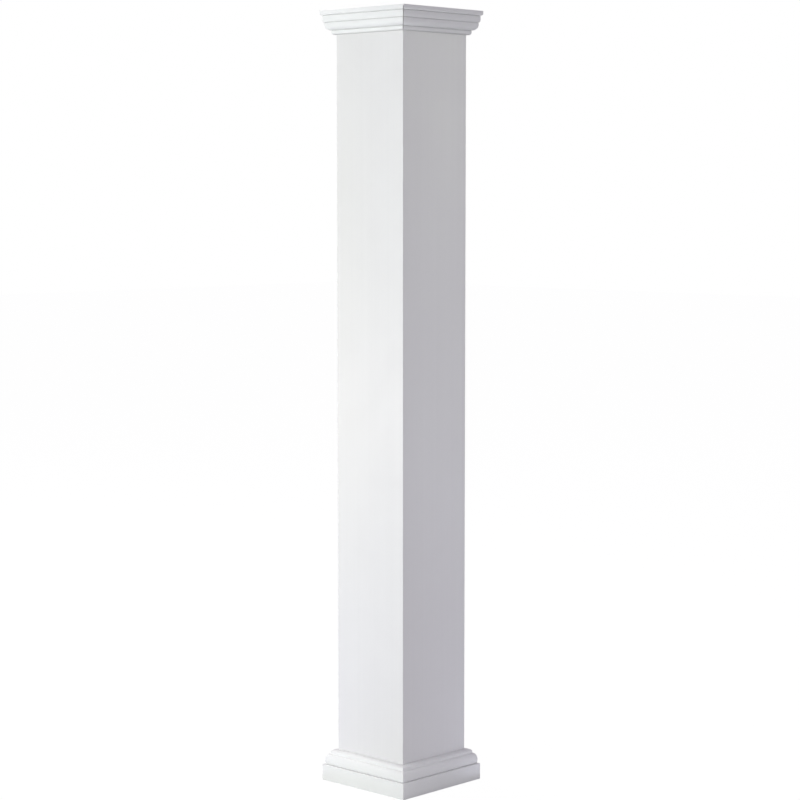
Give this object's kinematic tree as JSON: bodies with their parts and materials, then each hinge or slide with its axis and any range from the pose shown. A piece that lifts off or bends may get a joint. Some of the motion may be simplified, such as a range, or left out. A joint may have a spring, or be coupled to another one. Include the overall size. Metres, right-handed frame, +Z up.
{
  "type": "square column",
  "caption": "Hollow square porch column: a plain straight shaft with stepped capital moulding, torus base moulding and square plinth, ready to sleeve over a post.",
  "frame": {"origin": "middle of the column's foot, on the floor", "axes": "+Z up the shaft, with the four faces square to X and Y and the front face towards -Y"},
  "size_m": [0.3618, 0.3618, 2.4384],
  "materials": {
    "shaft_pvc": "satin white, smooth",
    "moulding_pvc": "matte white, milled"
  },
  "bodies": {
    "root": {"shaft": "shaft_pvc", "capital_front": "moulding_pvc", "capital_right": "moulding_pvc", "capital_back": "moulding_pvc", "capital_left": "moulding_pvc", "base_moulding_front": "moulding_pvc", "base_moulding_right": "moulding_pvc", "base_moulding_back": "moulding_pvc", "base_moulding_left": "moulding_pvc", "plinth_front": "moulding_pvc", "plinth_right": "moulding_pvc", "plinth_back": "moulding_pvc", "plinth_left": "moulding_pvc"}
  },
  "joints": []
}
